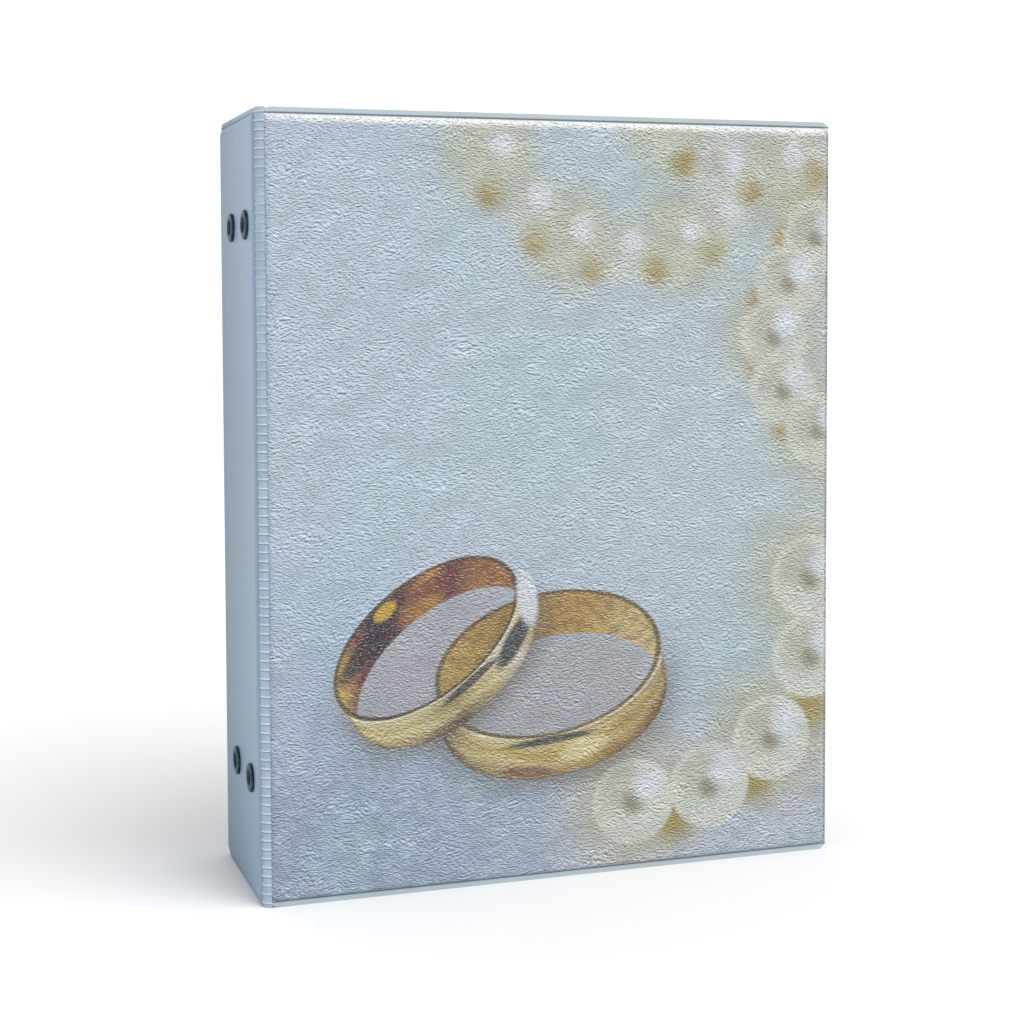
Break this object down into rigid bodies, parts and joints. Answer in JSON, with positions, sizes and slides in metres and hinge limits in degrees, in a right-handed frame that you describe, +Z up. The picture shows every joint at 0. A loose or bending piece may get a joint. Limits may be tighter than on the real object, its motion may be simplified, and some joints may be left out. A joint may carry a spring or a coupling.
{
  "type": "photo album",
  "caption": "Ring-binder photo album: welded vinyl case with soft ladder-pattern hinges, riveted ring mechanism with end levers, and pocket leaves that turn on the rings.",
  "frame": {"origin": "bottom centre of the closed album's bounding box, on the surface that it stands on", "axes": "+Z up along the spine, +X from the spine to the fore-edge, -Y out of the front cover"},
  "size_m": [0.2234, 0.07, 0.28],
  "materials": {
    "printed_vinyl": "grained vinyl with a printed picture, semi-matt",
    "spine_vinyl": "smooth vinyl, semi-matt",
    "lining_vinyl": "smooth vinyl",
    "greyboard": "plain",
    "gunmetal": "dark plated, satin",
    "nickel_plate": "nickel plated",
    "pocket_leaf": "clear film pockets over a white sheet"
  },
  "bodies": {
    "spine": {"spine_skin": "spine_vinyl", "spine_board": "greyboard", "spine_lining": "lining_vinyl", "front_hinge_band": "spine_vinyl", "back_hinge_band": "spine_vinyl", "spine_rivet_1": "gunmetal", "spine_rivet_2": "gunmetal", "spine_rivet_3": "gunmetal", "spine_rivet_4": "gunmetal", "base_plate": "nickel_plate", "ring_housing": "nickel_plate", "bottom_lever_pin": "nickel_plate", "top_lever_pin": "nickel_plate"},
    "front_cover": {"front_cover_skin": "printed_vinyl", "front_cover_board": "greyboard", "front_cover_lining": "lining_vinyl"},
    "back_cover": {"back_cover_skin": "printed_vinyl", "back_cover_board": "greyboard", "back_cover_lining": "lining_vinyl"},
    "front_rings": {"front_blade": "nickel_plate", "front_ring_half_1": "nickel_plate", "front_ring_half_2": "nickel_plate", "front_ring_half_3": "nickel_plate"},
    "back_rings": {"back_blade": "nickel_plate", "back_ring_half_1": "nickel_plate", "back_ring_half_2": "nickel_plate", "back_ring_half_3": "nickel_plate"},
    "bottom_lever": {"bottom_lever": "nickel_plate"},
    "top_lever": {"top_lever": "nickel_plate"},
    "leaf_01": {"leaf_01": "pocket_leaf"},
    "leaf_02": {"leaf_02": "pocket_leaf"},
    "leaf_03": {"leaf_03": "pocket_leaf"},
    "leaf_04": {"leaf_04": "pocket_leaf"},
    "leaf_05": {"leaf_05": "pocket_leaf"},
    "leaf_06": {"leaf_06": "pocket_leaf"},
    "leaf_07": {"leaf_07": "pocket_leaf"},
    "leaf_08": {"leaf_08": "pocket_leaf"},
    "leaf_09": {"leaf_09": "pocket_leaf"},
    "leaf_10": {"leaf_10": "pocket_leaf"},
    "leaf_11": {"leaf_11": "pocket_leaf"},
    "leaf_12": {"leaf_12": "pocket_leaf"},
    "leaf_13": {"leaf_13": "pocket_leaf"},
    "leaf_14": {"leaf_14": "pocket_leaf"},
    "leaf_15": {"leaf_15": "pocket_leaf"},
    "leaf_16": {"leaf_16": "pocket_leaf"},
    "leaf_17": {"leaf_17": "pocket_leaf"},
    "leaf_18": {"leaf_18": "pocket_leaf"},
    "leaf_19": {"leaf_19": "pocket_leaf"},
    "leaf_20": {"leaf_20": "pocket_leaf"}
  },
  "joints": [
    {"name": "front_cover_hinge", "type": "hinge", "parent": "spine", "child": "front_cover", "pos_m": [-0.10815, -0.0329, 0.14], "axis": [0, 0, -1], "range_deg": [0, 160], "deforming": ["front_hinge_band"]},
    {"name": "back_cover_hinge", "type": "hinge", "parent": "spine", "child": "back_cover", "pos_m": [-0.10815, 0.0329, 0.14], "axis": [0, 0, 1], "range_deg": [0, 160], "deforming": ["back_hinge_band"]},
    {"name": "front_rings_open", "type": "hinge", "parent": "spine", "child": "front_rings", "pos_m": [-0.10385, -0.0152, 0.14], "axis": [0, 0, -1], "range_deg": [0, 7]},
    {"name": "back_rings_open", "type": "hinge", "parent": "spine", "child": "back_rings", "pos_m": [-0.10385, 0.0032, 0.14], "axis": [0, 0, 1], "range_deg": [0, 7]},
    {"name": "top_lever_pull", "type": "hinge", "parent": "spine", "child": "top_lever", "pos_m": [-0.10285, -0.006, 0.23], "axis": [0, -1, 0], "range_deg": [0, 40.25]},
    {"name": "bottom_lever_pull", "type": "hinge", "parent": "spine", "child": "bottom_lever", "pos_m": [-0.10285, -0.006, 0.053], "axis": [0, 1, 0], "range_deg": [0, 40.25]},
    {"name": "leaf_01_turn", "type": "hinge", "parent": "spine", "child": "leaf_01", "pos_m": [-0.07833, -0.006, 0.14], "axis": [0, 0, -1], "range_deg": [0, 80.1]},
    {"name": "leaf_02_turn", "type": "hinge", "parent": "spine", "child": "leaf_02", "pos_m": [-0.07833, -0.006, 0.14], "axis": [0, 0, -1], "range_deg": [0, 72.4]},
    {"name": "leaf_03_turn", "type": "hinge", "parent": "spine", "child": "leaf_03", "pos_m": [-0.07833, -0.006, 0.14], "axis": [0, 0, -1], "range_deg": [0, 64.9]},
    {"name": "leaf_04_turn", "type": "hinge", "parent": "spine", "child": "leaf_04", "pos_m": [-0.07833, -0.006, 0.14], "axis": [0, 0, -1], "range_deg": [0, 57.2]},
    {"name": "leaf_05_turn", "type": "hinge", "parent": "spine", "child": "leaf_05", "pos_m": [-0.07833, -0.006, 0.14], "axis": [0, 0, -1], "range_deg": [0, 49.7]},
    {"name": "leaf_06_turn", "type": "hinge", "parent": "spine", "child": "leaf_06", "pos_m": [-0.07833, -0.006, 0.14], "axis": [0, 0, -1], "range_deg": [0, 42]},
    {"name": "leaf_07_turn", "type": "hinge", "parent": "spine", "child": "leaf_07", "pos_m": [-0.07833, -0.006, 0.14], "axis": [0, 0, -1], "range_deg": [0, 34.3]},
    {"name": "leaf_08_turn", "type": "hinge", "parent": "spine", "child": "leaf_08", "pos_m": [-0.07833, -0.006, 0.14], "axis": [0, 0, -1], "range_deg": [0, 26.8]},
    {"name": "leaf_09_turn", "type": "hinge", "parent": "spine", "child": "leaf_09", "pos_m": [-0.07833, -0.006, 0.14], "axis": [0, 0, -1], "range_deg": [0, 19.1]},
    {"name": "leaf_10_turn", "type": "hinge", "parent": "spine", "child": "leaf_10", "pos_m": [-0.07833, -0.006, 0.14], "axis": [0, 0, -1], "range_deg": [0, 11.5]},
    {"name": "leaf_11_turn", "type": "hinge", "parent": "spine", "child": "leaf_11", "pos_m": [-0.07833, -0.006, 0.14], "axis": [0, 0, 1], "range_deg": [0, 11.5]},
    {"name": "leaf_12_turn", "type": "hinge", "parent": "spine", "child": "leaf_12", "pos_m": [-0.07833, -0.006, 0.14], "axis": [0, 0, 1], "range_deg": [0, 19.1]},
    {"name": "leaf_13_turn", "type": "hinge", "parent": "spine", "child": "leaf_13", "pos_m": [-0.07833, -0.006, 0.14], "axis": [0, 0, 1], "range_deg": [0, 26.8]},
    {"name": "leaf_14_turn", "type": "hinge", "parent": "spine", "child": "leaf_14", "pos_m": [-0.07833, -0.006, 0.14], "axis": [0, 0, 1], "range_deg": [0, 34.3]},
    {"name": "leaf_15_turn", "type": "hinge", "parent": "spine", "child": "leaf_15", "pos_m": [-0.07833, -0.006, 0.14], "axis": [0, 0, 1], "range_deg": [0, 42]},
    {"name": "leaf_16_turn", "type": "hinge", "parent": "spine", "child": "leaf_16", "pos_m": [-0.07833, -0.006, 0.14], "axis": [0, 0, 1], "range_deg": [0, 49.7]},
    {"name": "leaf_17_turn", "type": "hinge", "parent": "spine", "child": "leaf_17", "pos_m": [-0.07833, -0.006, 0.14], "axis": [0, 0, 1], "range_deg": [0, 57.2]},
    {"name": "leaf_18_turn", "type": "hinge", "parent": "spine", "child": "leaf_18", "pos_m": [-0.07833, -0.006, 0.14], "axis": [0, 0, 1], "range_deg": [0, 64.9]},
    {"name": "leaf_19_turn", "type": "hinge", "parent": "spine", "child": "leaf_19", "pos_m": [-0.07833, -0.006, 0.14], "axis": [0, 0, 1], "range_deg": [0, 72.4]},
    {"name": "leaf_20_turn", "type": "hinge", "parent": "spine", "child": "leaf_20", "pos_m": [-0.07833, -0.006, 0.14], "axis": [0, 0, 1], "range_deg": [0, 80.1]}
  ],
  "couplings": [
    {"joint": "back_rings_open", "follows": "front_rings_open", "ratio": 1},
    {"joint": "top_lever_pull", "follows": "front_rings_open", "ratio": 5.75},
    {"joint": "bottom_lever_pull", "follows": "front_rings_open", "ratio": 5.75},
    {"joint": "leaf_01_turn", "follows": "front_cover_hinge", "ratio": 0.5},
    {"joint": "leaf_02_turn", "follows": "front_cover_hinge", "ratio": 0.452},
    {"joint": "leaf_03_turn", "follows": "front_cover_hinge", "ratio": 0.405},
    {"joint": "leaf_04_turn", "follows": "front_cover_hinge", "ratio": 0.357},
    {"joint": "leaf_05_turn", "follows": "front_cover_hinge", "ratio": 0.31},
    {"joint": "leaf_06_turn", "follows": "front_cover_hinge", "ratio": 0.262},
    {"joint": "leaf_07_turn", "follows": "front_cover_hinge", "ratio": 0.214},
    {"joint": "leaf_08_turn", "follows": "front_cover_hinge", "ratio": 0.167},
    {"joint": "leaf_09_turn", "follows": "front_cover_hinge", "ratio": 0.119},
    {"joint": "leaf_10_turn", "follows": "front_cover_hinge", "ratio": 0.071},
    {"joint": "leaf_11_turn", "follows": "back_cover_hinge", "ratio": 0.071},
    {"joint": "leaf_12_turn", "follows": "back_cover_hinge", "ratio": 0.119},
    {"joint": "leaf_13_turn", "follows": "back_cover_hinge", "ratio": 0.167},
    {"joint": "leaf_14_turn", "follows": "back_cover_hinge", "ratio": 0.214},
    {"joint": "leaf_15_turn", "follows": "back_cover_hinge", "ratio": 0.262},
    {"joint": "leaf_16_turn", "follows": "back_cover_hinge", "ratio": 0.31},
    {"joint": "leaf_17_turn", "follows": "back_cover_hinge", "ratio": 0.357},
    {"joint": "leaf_18_turn", "follows": "back_cover_hinge", "ratio": 0.405},
    {"joint": "leaf_19_turn", "follows": "back_cover_hinge", "ratio": 0.452},
    {"joint": "leaf_20_turn", "follows": "back_cover_hinge", "ratio": 0.5}
  ]
}
